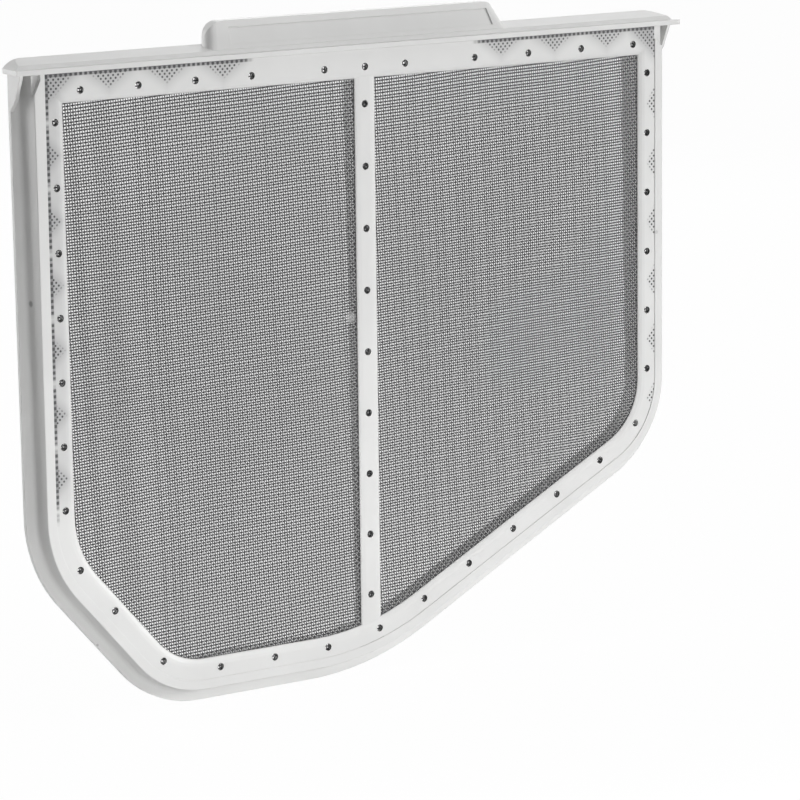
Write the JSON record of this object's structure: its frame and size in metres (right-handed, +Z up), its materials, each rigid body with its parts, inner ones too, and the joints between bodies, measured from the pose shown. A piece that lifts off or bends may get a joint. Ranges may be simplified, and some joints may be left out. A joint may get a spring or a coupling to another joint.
{
  "type": "tumble dryer lint filter",
  "caption": "Flat lint filter for a tumble dryer: a moulded frame with a hanging rail and a finger handle, moulded round a woven screen.",
  "frame": {"origin": "middle of the rail's seat, on the plane of the border's front face", "axes": "+X to the right across the filter, +Y from the front to the back, +Z up out of the slot"},
  "size_m": [0.32, 0.0165, 0.2729],
  "materials": {
    "frame_plastic": "fine satin moulded surface, light grey",
    "screen_thread": "dark grey monofilament in plain weave"
  },
  "bodies": {
    "root": {"filter_frame": "frame_plastic", "mesh_screen": "screen_thread"}
  },
  "joints": []
}
